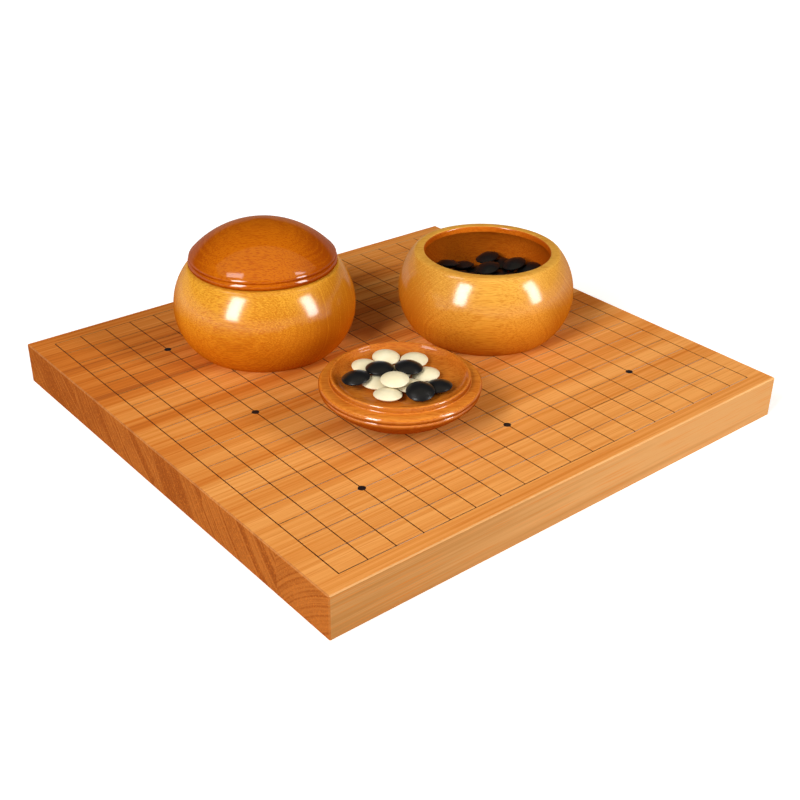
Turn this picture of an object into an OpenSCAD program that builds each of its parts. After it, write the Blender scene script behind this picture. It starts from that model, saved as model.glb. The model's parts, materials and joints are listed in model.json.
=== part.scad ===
// Go set: an edge-glued table board with an engraved 19 by 19 grid, two turned bowls with lids, and stones.
// Millimetres. The origin is the centre of the board's underside, +X runs along the grain, +Z is up.

/* [Board] */
// Length of the board along the grain
board_x = 470; // [440:1:520]
// Width of the board across the staves
board_y = 446; // [425:1:480]
// Thickness of the board
board_t = 37; // [20:0.5:60]
// Bevel on the outer edges
edge_bevel = 1; // [0.4:0.1:3]

/* [Grid] */
// Lines in each direction
line_count = 19; // [13:6:19]
// Distance between neighbouring lines, along the grain
pitch_x = 24; // [22:0.1:24.5]
// Distance between neighbouring lines, across the grain
pitch_y = 23.1; // [21:0.1:23.5]
// Width of an engraved line
line_w = 0.9; // [0.5:0.1:1.5]
// Thickness of the lacquer in a line
lacquer_t = 0.3; // [0.1:0.05:0.4]
// Depth of the lacquer's surface below the wood, which is the depth of a star point
lacquer_drop = 0.2; // [0.1:0.05:0.4]
// Diameter of a star point
star_d = 6.2; // [3:0.1:7]

/* [Bowls] */
// Radius at the belly
belly_r = 78.7; // [74:0.1:82]
// Height of the belly
belly_z = 36.6; // [30:0.1:42]
// Radius of the curve below the belly
lower_curve = 49.4; // [45:0.1:60]
// Height of the bowl at the lip
bowl_h = 74.2; // [68:0.1:80]
// Radius of the mouth
mouth_r = 56; // [52:0.1:58]
// Thickness of the wall
wall = 9.5; // [6:0.1:11]
// Thickness of the floor
floor_t = 9; // [6:0.1:14]
// Radius of the rounded shoulder at the lip
lip_round = 5; // [3:0.1:7]
// Width of the lip's flat, on which the lid sits
lip_flat = 4.2; // [2:0.1:5]
// Radius of the lip's inner edge
lip_edge = 1.5; // [0.5:0.1:2]
// Radius where the floor meets the wall
floor_fillet = 8; // [4:0.5:12]
// Width of the ring that the bowl stands on
foot_ring = 12; // [6:0.5:20]
// Depth of the hollow inside the foot ring
foot_hollow = 1.5; // [0.5:0.1:4]

/* [Lids] */
// Radius of the lid over its bead
lid_r = 63.8; // [62:0.1:66]
// Thickness of the bead
bead_t = 6; // [4:0.1:8]
// How far the dome's shoulder stands inside the bead
shoulder_in = 1; // [0.5:0.1:3]
// Radius of the dome's shoulder
shoulder_r = 2.5; // [1.5:0.1:6]
// How far round the shoulder turns in to the crease above the bead, in degrees
crease_turn = 30; // [10:1:45]
// Height of the dome above the bowl's lip, before its crown is cut flat
dome_h = 36.2; // [30:0.1:42]
// Depth of the flat on the crown, on which the upturned lid stands
crown_cut = 0.6; // [0.3:0.1:1.5]
// Play between the spigot and the mouth
spigot_play = 1.2; // [0.5:0.1:3]
// Height of the spigot
spigot_h = 5; // [3:0.1:8]
// Radius of the spigot's edge
spigot_round = 1.2; // [0.5:0.1:2]
// Radius where the spigot meets the flange
spigot_fillet = 0.9; // [0.3:0.1:1.2]
// Depth of the dish below the spigot's edge
dish_depth = 8.6; // [7:0.1:12]
// Radius of the dish's shallow floor
dish_r = 350; // [200:5:600]
// Radius of the dish's side
dish_side = 14; // [8:0.5:18]

/* [Stones] */
// Diameter of a stone
stone_d = 22.2; // [20:0.1:22.4]
// Thickness of a stone
stone_t = 8.6; // [6:0.1:10]
// How much of the sharp rim is rounded off
stone_edge = 0.4; // [0.2:0.05:0.8]
// Least play between neighbouring stones
stone_play = 0.15; // [0.1:0.01:0.3]
// Stones in each bowl
bowl_stones = 106; // [40:1:130]
// Steepest lean of a stone at the top of a bowl
stone_lean = 16; // [0:1:20]

/* [Places on the board] */
// Closed bowl, along the grain
white_x = -65; // [-80:0.5:-50]
// Closed bowl, across the grain
white_y = 102; // [90:0.5:110]
// Open bowl, along the grain
black_x = 107.5; // [100:0.5:120]
// Open bowl, across the grain
black_y = 5.5; // [0:0.5:12]
// Upturned lid, along the grain
tray_x = -60; // [-68:0.5:-54]
// Upturned lid, across the grain
tray_y = -78.5; // [-88:0.5:-73]

/* [Hidden] */
// Shares of the staves in the board's width, from the front edge back
stave_share = [60, 94, 73, 58, 71, 90];
stave_count = len(stave_share);
share_sum = first_sum(stave_share, stave_count);
stave_y = [for (i = [0:stave_count]) board_y * (first_sum(stave_share, i) / share_sum - 1 / 2)];

// Grid
mid_line = (line_count - 1) / 2;
grid_x = pitch_x * (line_count - 1) + line_w;
grid_y = pitch_y * (line_count - 1) + line_w;
star_lines = [-1, 0, 1] * (mid_line - 3);
across_z = board_t - lacquer_drop - lacquer_t;
along_z = across_z - lacquer_t;
cut_over = 1;

// How far the chords of an arc may leave it
chord_off = 0.04;
turn_fn = 128;

// Bowl profile: the two outer curves, and inside them the same centres with the wall taken off. The upper
// curve leaves the belly upright and runs into the rounded shoulder of the lip.
lip_c = [mouth_r + lip_edge + lip_flat, bowl_h - lip_round];
lip_in = belly_r - lip_c.x;
lip_rise = lip_c.y - belly_z;
upper_curve = (lip_in ^ 2 + lip_rise ^ 2 - lip_round ^ 2) / (2 * (lip_in - lip_round));
lower_c = [belly_r - lower_curve, belly_z];
upper_c = [belly_r - upper_curve, belly_z];
inner_low = lower_curve - wall;
inner_up = upper_curve - wall;
foot_r = lower_c.x + sqrt(lower_curve ^ 2 - belly_z ^ 2);
lip_angle = atan2(lip_rise, lip_c.x - upper_c.x);
foot_angle = -asin(belly_z / lower_curve);
mouth_angle = acos((mouth_r - upper_c.x) / inner_up);
fillet_z = floor_t + floor_fillet;
fillet_c = [lower_c.x + sqrt((inner_low - floor_fillet) ^ 2 - (belly_z - fillet_z) ^ 2), fillet_z];
fillet_angle = atan2(fillet_c.y - lower_c.y, fillet_c.x - lower_c.x);

// Lid profile, with its seat on the bowl's lip at zero height
bead_r = bead_t / 2;
bead_c = [lid_r - bead_r, bead_r];
shoulder_c = [lid_r - shoulder_in - shoulder_r, bead_t + shoulder_r * sin(crease_turn)];
dome_rise = dome_h - shoulder_c.y;
dome_r = (shoulder_c.x ^ 2 + dome_rise ^ 2 - shoulder_r ^ 2) / (2 * (dome_rise - shoulder_r));
dome_c = [0, dome_h - dome_r];
dome_angle = atan2(shoulder_c.y - dome_c.y, shoulder_c.x);
lid_h = dome_h - crown_cut;
spigot_r = mouth_r - spigot_play;
edge_c = [spigot_r - spigot_round, spigot_round - spigot_h];
dish_top = dish_depth - spigot_h;
dish_c = [0, dish_top - dish_r];
side_c = cross_left(dish_c, dish_r - dish_side, edge_c, dish_side + spigot_round);
side_from = atan2(edge_c.y - side_c.y, edge_c.x - side_c.x);
side_to = atan2(side_c.y - dish_c.y, side_c.x);

// Stone: two caps of one radius, with their centres this far above and below its middle
rim_r = stone_d / 2 + stone_edge;
cap_r = (rim_r ^ 2 + (stone_t / 2) ^ 2) / stone_t;
cap_c = cap_r - stone_t / 2;
reach = 2 * cap_r + stone_play;
side_by_side = stone_d + stone_play;

// Stones that fall at random into a bowl: places tried for each, and the seeds of the two bowls
tries = 120;
white_seed = 18;
black_seed = 2;

// Stones in the upturned lid, in the order in which they were put down: name, place from the lid's
// centre, and for a stone that leans on others its lean and the heading of the side that hangs down
tray_list = [
    ["tray_white_stone_1", [11, 31.5]],
    ["tray_white_stone_2", [26, 14.5]],
    ["tray_white_stone_3", [-11.4, 29.2]],
    ["tray_white_stone_4", [-20.5, 5]],
    ["tray_white_stone_5", [-25.8, -16.8]],
    ["tray_white_stone_6", [18.5, -8.5]],
    ["tray_white_stone_7", [-3.3, -14]],
    ["tray_white_stone_8", [3, 7.7]],
    ["tray_black_stone_1", [12.5, -30.4]],
    ["tray_black_stone_2", [-33.3, 12.9], 8, 155],
    ["tray_black_stone_3", [-10.9, 12], 2, 90],
    ["tray_black_stone_4", [7.8, -0.8], 4, 320],
    ["tray_white_stone_9", [-13.7, -10.2], 5, 230],
    ["tray_black_stone_5", [-6, -31.3], 14, 230]
];

wood = "#d5893f";
lacquered = "#cf8a2e";
line_ink = "#4a2c18";
star_ink = "#1c1a18";
shell_white = "#efe6c9";
slate_black = "#26272a";

// Sum of the first n values of a list
function first_sum(list, n) = n == 0 ? 0 : list[n - 1] + first_sum(list, n - 1);

// Points on an arc round c, without its first ones where it goes on from another arc
function arc(c, r, from, to, skip = 0) =
    let (n = max(2, ceil(abs(to - from) / (2 * acos(1 - chord_off / r)))))
    [for (i = [skip:n]) let (a = from + (to - from) * i / n) c + r * [cos(a), sin(a)]];

// Where two circles cross, on the left of the way from the first centre to the second
function cross_left(a, ra, b, rb) =
    let (d = norm(b - a), u = (b - a) / d, along = (d ^ 2 + ra ^ 2 - rb ^ 2) / (2 * d))
    a + u * along + [-u.y, u.x] * sqrt(ra ^ 2 - along ^ 2);

// Unit vector that leans from the vertical towards a heading
function leaning(lean, heading) = [sin(lean) * cos(heading), sin(lean) * sin(heading), cos(lean)];

// Height at which a stone at p with axis n just clears a stone s that lies below it
function over_stone(p, n, s) =
    let (d = [p.x + n.x * cap_c - s[0].x + s[1].x * cap_c, p.y + n.y * cap_c - s[0].y + s[1].y * cap_c])
    let (rise = reach ^ 2 - d * d)
    norm([p.x - s[0].x, p.y - s[0].y]) >= side_by_side || rise <= 0 ? 0
    : s[0].z - s[1].z * cap_c + sqrt(rise) - n.z * cap_c;

// A stone put down at p: its middle at the height of the highest thing that it meets, and its axis
function put_down(p, n, seat_z, below) =
    [[p.x, p.y, max(concat([seat_z], [for (s = below) over_stone(p, n, s)]))], n];

// Height of a stone on the bowl's floor, clear of the wall
function bowl_seat(p, n) =
    let (side = norm(p) + stone_d / 2 + stone_play - lower_c.x)
    max(
        floor_t + stone_play + cap_r - n.z * cap_c,
        side <= 0 ? 0 : belly_z - sqrt(inner_low ^ 2 - side ^ 2) + norm([n.x, n.y]) * stone_d / 2
    );

// Whether a stone stays clear of the bowl's wall where this leans in above the belly
function inside_wall(s) =
    let (
        rise = s[0].z + norm([s[1].x, s[1].y]) * stone_d / 2 - belly_z,
        side = norm([s[0].x, s[0].y]) + stone_d / 2 + stone_play - upper_c.x
    ) rise <= 0 || rise ^ 2 + side ^ 2 <= inner_up ^ 2;

// Stones that fall into a bowl one by one, each to the lowest of the places tried for it
function fill_bowl(seed, done = []) =
    len(done) == bowl_stones ? done
    : let (
        i = len(done),
        spread = lower_c.x + inner_low - stone_d / 2 - 3 * stone_play,
        n = leaning(stone_lean * i / bowl_stones, rands(0, 360, 1, seed * 1000 + i)[0]),
        away = rands(0, 1, tries, seed * 2000 + i),
        turn = rands(0, 360, tries, seed * 3000 + i),
        spots = [for (k = [0:tries - 1]) spread * sqrt(away[k]) * [cos(turn[k]), sin(turn[k])]],
        fallen = [for (p = spots) put_down(p, n, bowl_seat(p, n), done)],
        heights = [for (s = fallen) inside_wall(s) ? s[0].z : bowl_h],
        lowest = search(min(heights), heights)[0]
    ) fill_bowl(seed, concat(done, [fallen[lowest]]));

// Axis of a stone that lies flat in the dish, and the height of a stone's middle on it
function dish_axis(p) =
    let (l = dish_r - stone_t / 2 - stone_play) [-p.x / l, -p.y / l, sqrt(1 - p * p / l ^ 2)];
function dish_seat(p, n) =
    let (c = [p.x + n.x * cap_c, p.y + n.y * cap_c])
    lid_h - dish_top + dish_r - sqrt((dish_r - cap_r - stone_play) ^ 2 - c * c) - n.z * cap_c;

// Stones put down in the upturned lid, in the order of the list
function fill_tray(done = []) =
    len(done) == len(tray_list) ? done
    : let (
        t = tray_list[len(done)],
        p = t[1],
        n = len(t) > 2 ? leaning(t[2], t[3]) : dish_axis(p)
    ) fill_tray(concat(done, [put_down(p, n, dish_seat(p, n), done)]));

module wedge(length) {
    rotate([45, 0, 0]) cube([length, edge_bevel * sqrt(2), edge_bevel * sqrt(2)], center = true);
}

// What the outer bevel takes off the board's long edges, short edges and corners
module bevels() {
    for (y = [-1, 1], z = [0, board_t])
        translate([0, y * board_y / 2, z]) wedge(board_x + 2 * cut_over);
    for (x = [-1, 1], z = [0, board_t])
        translate([x * board_x / 2, 0, z]) rotate([0, 0, 90]) wedge(board_y + 2 * cut_over);
    for (x = [-1, 1], y = [-1, 1])
        translate([x * board_x / 2, y * board_y / 2, board_t / 2])
            rotate([0, 90, 0]) wedge(board_t + 2 * cut_over);
}

// Lines that run along the grain, from a bottom height and with a height
module along_bars(z, h) {
    for (i = [-mid_line:mid_line])
        translate([-grid_x / 2, i * pitch_y - line_w / 2, z]) cube([grid_x, line_w, h]);
}

module across_bars(z, h) {
    for (i = [-mid_line:mid_line])
        translate([i * pitch_x - line_w / 2, -grid_y / 2, z]) cube([line_w, grid_y, h]);
}

module stars(h) {
    for (i = star_lines, j = star_lines)
        translate([i * pitch_x, j * pitch_y, board_t - lacquer_drop])
            cylinder(d = star_d, h = h, $fn = turn_fn);
}

module board_stave(i) {
    color(wood) difference() {
        translate([-board_x / 2, stave_y[i], 0]) cube([board_x, stave_y[i + 1] - stave_y[i], board_t]);
        along_bars(along_z, board_t);
        across_bars(across_z, board_t);
        stars(board_t);
        bevels();
    }
}

module lines_along_grain() { color(line_ink) along_bars(along_z, lacquer_t); }
module lines_across_grain() { color(line_ink) across_bars(across_z, lacquer_t); }
module star_points() { color(star_ink) stars(lacquer_drop); }

module bowl() {
    color(lacquered) rotate_extrude($fn = turn_fn) polygon(concat(
        [[0, foot_hollow], [foot_r - foot_ring - foot_hollow, foot_hollow], [foot_r - foot_ring, 0]],
        arc(lower_c, lower_curve, foot_angle, 0),
        arc(upper_c, upper_curve, 0, lip_angle, 1),
        arc(lip_c, lip_round, lip_angle, 90, 1),
        arc([mouth_r + lip_edge, bowl_h - lip_edge], lip_edge, 90, 180),
        arc(upper_c, inner_up, mouth_angle, 0),
        arc(lower_c, inner_low, 0, fillet_angle, 1),
        arc(fillet_c, floor_fillet, fillet_angle, -90, 1),
        [[0, floor_t]]
    ));
}

// A lid as it sits on its bowl, with the lip's height at zero
module lid() {
    color(lacquered) rotate_extrude($fn = turn_fn) polygon(concat(
        [[0, lid_h]],
        arc(dome_c, dome_r, asin((lid_h - dome_c.y) / dome_r), dome_angle),
        arc(shoulder_c, shoulder_r, dome_angle, -crease_turn, 1),
        arc(bead_c, bead_r, 90 - crease_turn, -90),
        arc([spigot_r + spigot_fillet, -spigot_fillet], spigot_fillet, 90, 180),
        arc(edge_c, spigot_round, 0, side_from - 180),
        arc(side_c, dish_side, side_from, side_to, 1),
        arc(dish_c, dish_r, side_to, 90, 1)
    ));
}

module stone(c) {
    color(c) intersection() {
        translate([0, 0, cap_c]) sphere(r = cap_r, $fn = turn_fn);
        translate([0, 0, -cap_c]) sphere(r = cap_r, $fn = turn_fn);
        cylinder(d = stone_d, h = stone_t, center = true, $fn = turn_fn);
    }
}

// A stone moved to its place, with its axis turned to lean as it lies
module laid(s, c) {
    translate(s[0]) rotate([0, acos(s[1].z), atan2(s[1].y, s[1].x)]) stone(c);
}

module on_board(x, y) {
    translate([x, y, board_t]) children();
}

module white_bowl() { on_board(white_x, white_y) bowl(); }
module black_bowl() { on_board(black_x, black_y) bowl(); }
module white_bowl_lid() { on_board(white_x, white_y) translate([0, 0, bowl_h]) lid(); }
module upturned_lid() { on_board(tray_x, tray_y) translate([0, 0, lid_h]) rotate([180, 0, 0]) lid(); }

module white_stones_in_bowl() {
    on_board(white_x, white_y) for (s = fill_bowl(white_seed)) laid(s, shell_white);
}

module black_stones_in_bowl() {
    on_board(black_x, black_y) for (s = fill_bowl(black_seed)) laid(s, slate_black);
}

module tray_stone(i) {
    is_white = search("w", tray_list[i][0]) != [];
    on_board(tray_x, tray_y) laid(fill_tray()[i], is_white ? shell_white : slate_black);
}

for (i = [1:stave_count])
    board_stave(i - 1);
lines_along_grain();
lines_across_grain();
star_points();
white_bowl();
white_bowl_lid();
white_stones_in_bowl();
black_bowl();
black_stones_in_bowl();
upturned_lid();
for (i = [0:len(tray_list) - 1])
    tray_stone(i);
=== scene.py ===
"""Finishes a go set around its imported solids: the board, two turned bowls with their lids, and the stones."""
import json
import math

import bpy
import numpy as np
from bpy.props import FloatProperty, FloatVectorProperty, PointerProperty
from bpy.types import Operator, Panel, PropertyGroup
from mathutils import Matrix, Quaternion, Vector


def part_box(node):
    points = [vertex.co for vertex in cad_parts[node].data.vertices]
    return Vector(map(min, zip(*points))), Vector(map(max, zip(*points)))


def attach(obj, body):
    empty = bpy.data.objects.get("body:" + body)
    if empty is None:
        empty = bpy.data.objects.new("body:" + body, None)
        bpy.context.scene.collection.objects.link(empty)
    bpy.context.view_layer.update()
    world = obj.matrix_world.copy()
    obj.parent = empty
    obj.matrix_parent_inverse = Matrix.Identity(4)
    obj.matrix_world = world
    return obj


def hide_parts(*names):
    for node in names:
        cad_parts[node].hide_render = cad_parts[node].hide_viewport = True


bl_info = {
    "name": "Go Set",
    "version": (1, 0, 0),
    "blender": (4, 5, 0),
    "location": "View3D > Sidebar > Go Set",
    "description": "Finishes a go board and models its bowls, lids and stones around the packed solids",
    "category": "Add Mesh",
}

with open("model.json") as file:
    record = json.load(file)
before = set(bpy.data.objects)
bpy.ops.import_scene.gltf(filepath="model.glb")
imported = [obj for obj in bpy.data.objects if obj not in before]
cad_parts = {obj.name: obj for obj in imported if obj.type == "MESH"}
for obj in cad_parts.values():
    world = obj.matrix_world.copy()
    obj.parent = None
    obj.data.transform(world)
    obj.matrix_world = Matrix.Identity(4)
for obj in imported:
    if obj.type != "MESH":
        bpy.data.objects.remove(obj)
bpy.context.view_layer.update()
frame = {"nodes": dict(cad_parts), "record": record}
NODES = frame["nodes"]

STAVES = sorted(n for n in NODES if n.startswith("board_stave_"))
DISH_STONES = sorted(n for n in NODES if n.startswith("tray_"))
BOWL_LOW, BOWL_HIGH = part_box("white_bowl")
LID_LOW, LID_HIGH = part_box("white_bowl_lid")
BOARD_TOP = BOWL_LOW.z
BOWL_HEART = (BOWL_HIGH.z - BOWL_LOW.z) / 2


def middle(node):
    """The place of a turned piece's axis on the board."""
    low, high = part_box(node)
    return (low.x + high.x) / 2, (low.y + high.y) / 2


def body_of(node):
    """The body that a CAD node belongs to."""
    bodies = frame["record"]["behaviour"]["bodies"]
    return next(b for b, members in bodies.items() if node in members)


# Settings

def length(name, text, value):
    """A setting that holds a length."""
    return FloatProperty(name=name, description=text, default=value, min=0.0, precision=4,
                         subtype="DISTANCE", unit="LENGTH")


def colour(name, text, value):
    """A setting that holds a colour."""
    return FloatVectorProperty(name=name, description=text, default=value, size=3, min=0.0, max=1.0,
                               subtype="COLOR")


class BowlShape(PropertyGroup):
    """Sizes of a turned bowl"""
    belly_radius: length("Belly radius", "Radius of the bowl at its widest", (BOWL_HIGH.x - BOWL_LOW.x) / 2)
    belly_height: length("Belly height", "Height of the widest place", 0.0366)
    lower_curve: length("Lower curve", "Radius of the wall's curve below the belly", 0.0494)
    height: length("Height", "Height of the lip", BOWL_HIGH.z - BOWL_LOW.z)
    mouth_radius: length("Mouth radius", "Radius of the open mouth", 0.056)
    wall: length("Wall", "Thickness of the wall", 0.0095)
    floor: length("Floor", "Thickness of the floor", 0.009)
    lip_round: length("Lip round", "Radius of the rounded lip", 0.005)
    lip_flat: length("Lip flat", "Width of the lip's flat, on which the lid sits", 0.0042)
    lip_edge: length("Lip edge", "Radius of the lip's inner edge", 0.0015)
    floor_fillet: length("Floor fillet", "Radius where the floor meets the wall", 0.008)
    foot_ring: length("Foot ring", "Width of the ring that the bowl stands on", 0.012)
    foot_hollow: length("Foot hollow", "Depth of the hollow inside the foot ring", 0.0015)


class LidShape(PropertyGroup):
    """Sizes of a turned lid"""
    radius: length("Radius", "Radius of the lid over its bead", (LID_HIGH.x - LID_LOW.x) / 2)
    bead: length("Bead", "Thickness of the bead round the rim", 0.006)
    shoulder_in: length("Shoulder set-in", "How far the dome's shoulder stands inside the bead", 0.001)
    shoulder_round: length("Shoulder round", "Radius of the dome's shoulder", 0.0025)
    height: length("Height", "Height of the crown's flat above the bowl's lip", LID_HIGH.z - BOWL_HIGH.z)
    crown_cut: length("Crown cut", "Depth of the flat on the crown", 0.0006)
    spigot_play: length("Spigot play", "Play between the spigot and the bowl's mouth", 0.0012)
    spigot_height: length("Spigot height", "Height of the spigot", BOWL_HIGH.z - LID_LOW.z)
    spigot_round: length("Spigot round", "Radius of the spigot's edge", 0.0012)
    spigot_fillet: length("Spigot fillet", "Radius where the spigot meets the flange", 0.0009)
    dish_depth: length("Dish depth", "Depth of the dish below the spigot's edge", 0.0086)
    dish_curve: length("Dish curve", "Radius of the dish's shallow floor", 0.35)
    dish_side: length("Dish side", "Radius of the dish's side", 0.014)


class StoneShape(PropertyGroup):
    """Sizes and colours of the stones"""
    diameter: length("Diameter", "Diameter of a stone", 0.0222)
    thickness: length("Thickness", "Thickness of a stone at its middle", 0.0086)
    edge: length("Edge", "How much of the sharp rim is rounded off", 0.0004)
    white: colour("White", "Colour of the white stones", (0.84, 0.76, 0.54))
    white_cloud: colour("White, clouds", "Faint clouds in the white stones", (0.82, 0.72, 0.48))
    black: colour("Black", "Colour of the black stones", (0.007, 0.007, 0.008))
    black_cloud: colour("Black, clouds", "Faint clouds in the black stones", (0.010, 0.010, 0.011))


class WoodColours(PropertyGroup):
    """Colours of the board, its lacquer and the turned wood"""
    board_pale: colour("Board, pale", "Pale wood of the board's top", (0.844, 0.367, 0.098))
    board_mid: colour("Board, middle", "Middle tone of the board's top", (0.733, 0.272, 0.056))
    board_deep: colour("Board, streaks", "Streaks in the board's top", (0.600, 0.167, 0.022))
    # The darkest stop is partly painted shade: it darkens the back staves round the closed bowl and between the
    # bowls
    board_darkest_and_shade: colour("Board, heartwood", "Darkest wood of the board's top", (0.422, 0.109, 0.018))
    end_pale: colour("End grain, pale", "Pale rings in the end grain", (0.389, 0.118, 0.021))
    end_deep: colour("End grain, dark", "Dark rings in the end grain", (0.256, 0.062, 0.010))
    side_pale: colour("Side, pale", "Pale wood of the board's long sides", (0.578, 0.291, 0.104))
    side_deep: colour("Side, lines", "Grain lines in the board's long sides", (0.400, 0.178, 0.051))
    # Painted highlight with some wear: the pale colour on the bevelled edges stands in for the light that they
    # catch
    edge: colour("Edges", "Worn wood on the board's bevelled edges", (0.889, 0.511, 0.222))
    line: colour("Lines", "Lacquer in the engraved lines", (0.026, 0.007, 0.003))
    line_pale: colour("Lines, pale", "Paler grit in the lines' lacquer", (0.08, 0.028, 0.011))
    # Painted highlight with some wear: the pale stretches on the lines along the grain near the front
    line_worn_and_sheen: colour("Lines, worn", "Worn stretches of the lines", (0.80, 0.60, 0.50))
    star: colour("Star points", "Lacquer of the star points", (0.005, 0.005, 0.007))
    star_pale: colour("Star points, pale", "Paler places on the star points", (0.016, 0.016, 0.020))
    white_bowl: colour("Closed bowl", "Wood of the closed bowl", (0.700, 0.333, 0.029))
    white_bowl_lid: colour("Closed lid", "Wood of the lid on the closed bowl", (0.500, 0.124, 0.002))
    black_bowl: colour("Open bowl", "Wood of the open bowl", (0.722, 0.372, 0.058))
    upturned_lid: colour("Dish lid", "Wood of the lid that is upturned as a dish", (0.644, 0.204, 0.022))


class StageSetup(PropertyGroup):
    """The floor, the even light and the camera"""
    floor: colour("Floor", "Colour of the floor", (0.86, 0.86, 0.86))
    ambient: FloatProperty(name="Ambient", description="Strength of the even light from all round",
                           default=0.036, min=0.0, max=1.0, subtype="FACTOR")
    lens: FloatProperty(name="Lens", description="Focal length of the camera", default=52.98, min=1.0,
                        subtype="DISTANCE_CAMERA", unit="CAMERA")


class GoSet(PropertyGroup):
    """All the settings of the go set"""
    bowl: PointerProperty(type=BowlShape)
    lid: PointerProperty(type=LidShape)
    stone: PointerProperty(type=StoneShape)
    wood: PointerProperty(type=WoodColours)
    stage: PointerProperty(type=StageSetup)


# Shader expressions

WHITE = (1.0, 1.0, 1.0)


class Wire:
    """A socket in a shader expression. Each operation on it adds the Math node that works it out."""

    def __init__(self, tree, socket=None):
        self.tree = tree
        self.socket = socket

    def node(self, kind, settings=None, sockets=None, out=0):
        """Adds a node, gives it its settings, then its sockets' values or links, and returns one output."""
        made = self.tree.nodes.new(kind)
        for key, value in (settings or {}).items():
            if key == "stops":
                ramp = made.color_ramp.elements
                while len(ramp) < len(value):
                    ramp.new(1.0)
                for element, (place, tone) in zip(ramp, value):
                    element.position = place
                    element.color = (*tone, 1.0)
            else:
                setattr(made, key, value)
        for key, value in (sockets or {}).items():
            if isinstance(value, Wire):
                self.tree.links.new(value.socket, made.inputs[key])
            else:
                entry = made.inputs[key]
                entry.default_value = (*value, 1.0) if entry.type == "RGBA" else value
        return Wire(self.tree, made.outputs[out])

    def end(self, kind):
        """Links this shader to the output that ends its tree."""
        output = self.tree.nodes.new(kind)
        self.tree.links.new(self.socket, output.inputs["Surface"])

    def out(self, name):
        """Another output of the node that this wire comes from."""
        return Wire(self.tree, self.socket.node.outputs[name])

    def math(self, operation, first, second=0.0):
        """One Math node."""
        return self.node("ShaderNodeMath", {"operation": operation}, {0: first, 1: second})

    def __add__(self, other):
        return self.math("ADD", self, other)

    __radd__ = __add__

    def __sub__(self, other):
        return self.math("SUBTRACT", self, other)

    def __rsub__(self, other):
        return self.math("SUBTRACT", other, self)

    def __mul__(self, other):
        return self.math("MULTIPLY", self, other)

    __rmul__ = __mul__

    def __truediv__(self, other):
        return self.math("DIVIDE", self, other)

    def __rtruediv__(self, other):
        return self.math("DIVIDE", other, self)

    def __pow__(self, other):
        return self.math("POWER", self, other)

    def __abs__(self):
        return self.math("ABSOLUTE", self)

    def step(self, start, end):
        """Rises smoothly from 0 to 1 between two values of this wire."""
        return self.node("ShaderNodeMapRange", {"interpolation_type": "SMOOTHSTEP"},
                         {0: self, 1: start, 2: end})

    def ramp(self, places, *tones):
        """A colour between tones that stand at given places of this wire's value."""
        return self.node("ShaderNodeValToRGB", {"stops": list(zip(places, tones))}, {0: self})

    def blend(self, first, second, kind="MIX"):
        """A colour mixed from two by this wire's value."""
        return self.node("ShaderNodeMix", {"data_type": "RGBA", "blend_type": kind},
                         {0: self, 6: first, 7: second}, out=2)

    def vector(self, operation, other):
        """One Vector Math node."""
        return self.node("ShaderNodeVectorMath", {"operation": operation}, {0: self, 1: other})

    def dot(self, other):
        """How far this vector points the way of another."""
        return self.vector("DOT_PRODUCT", other).out("Value")

    def parts(self):
        """The X, Y and Z of this vector, as outputs of one node."""
        return self.node("ShaderNodeSeparateXYZ", {}, {0: self})

    def stretched(self, scale, place=(0.0, 0.0, 0.0)):
        """Coordinates scaled along each axis and shifted."""
        return self.node("ShaderNodeMapping", {}, {"Vector": self, "Location": place, "Scale": scale})

    def noise(self, detail=2.0, roughness=0.5):
        """Noise at these coordinates."""
        return self.node("ShaderNodeTexNoise", {}, {
            "Vector": self, "Scale": 1.0, "Detail": detail, "Roughness": roughness})

    def noise_along(self, detail=2.0, roughness=0.5):
        """Noise in one dimension, with this wire as the way along it."""
        return self.node("ShaderNodeTexNoise", {"noise_dimensions": "1D"}, {
            "W": self, "Scale": 1.0, "Detail": detail, "Roughness": roughness})


# The value round which noise varies
NOISE_MIDDLE = 0.5


def mixed(shares, *figures):
    """Figures added up by their shares."""
    total = figures[0] * shares[0]
    for figure, share in zip(figures[1:], shares[1:]):
        total = total + figure * share
    return total


def new_finish(name):
    """A material with an empty node tree, and the wire from which its nodes are added."""
    material = bpy.data.materials.new(name)
    material.use_nodes = True
    material.node_tree.nodes.clear()
    return material, Wire(material.node_tree)


def close_finish(wire, height, depth, **sockets):
    """Ends a material with its Principled shader and a bump from a height."""
    values = {key.replace("_", " "): value for key, value in sockets.items()}
    values["Normal"] = wire.node("ShaderNodeBump", {}, {"Strength": 1.0, "Distance": depth, "Height": height})
    wire.node("ShaderNodeBsdfPrincipled", {}, values).end("ShaderNodeOutputMaterial")


# The board's finishes

# For each stave from the front edge back: its pith across the board and above the underside, its tone from
# dark to pale and how this grows along the grain, the seed of its figure, and the place on top and half width of
# each of its dark bands
# The darker tones of the back three staves, and how these grow paler along the grain, are partly painted shade
# round the closed bowl and between the bowls
STAVE_GRAIN = (
    dict(pith=(-0.288, -0.100), tone=0.045, growth=0.00, seed=3.0, bands=()),
    dict(pith=(-0.320, 0.170), tone=0.030, growth=0.00, seed=11.0,
         bands=((-0.092, 0.0015), (-0.118, 0.003), (-0.141, 0.004))),
    dict(pith=(-0.220, 0.130), tone=-0.010, growth=0.06, seed=23.0,
         bands=((-0.004, 0.009), (-0.026, 0.006), (-0.060, 0.004))),
    dict(pith=(-0.120, 0.150), tone=-0.028, growth=0.16, seed=31.0, bands=((0.036, 0.004),)),
    dict(pith=(-0.040, 0.110), tone=-0.066, growth=0.22, seed=52.0, bands=((0.094, 0.003), (0.129, 0.003))),
    dict(pith=(0.020, 0.160), tone=-0.078, growth=0.27, seed=83.0, bands=((0.152, 0.003), (0.196, 0.008))),
)
# Metres between the growth rings, and how far these wander
RING_GAP, RING_WANDER = 0.0024, 0.012
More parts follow.
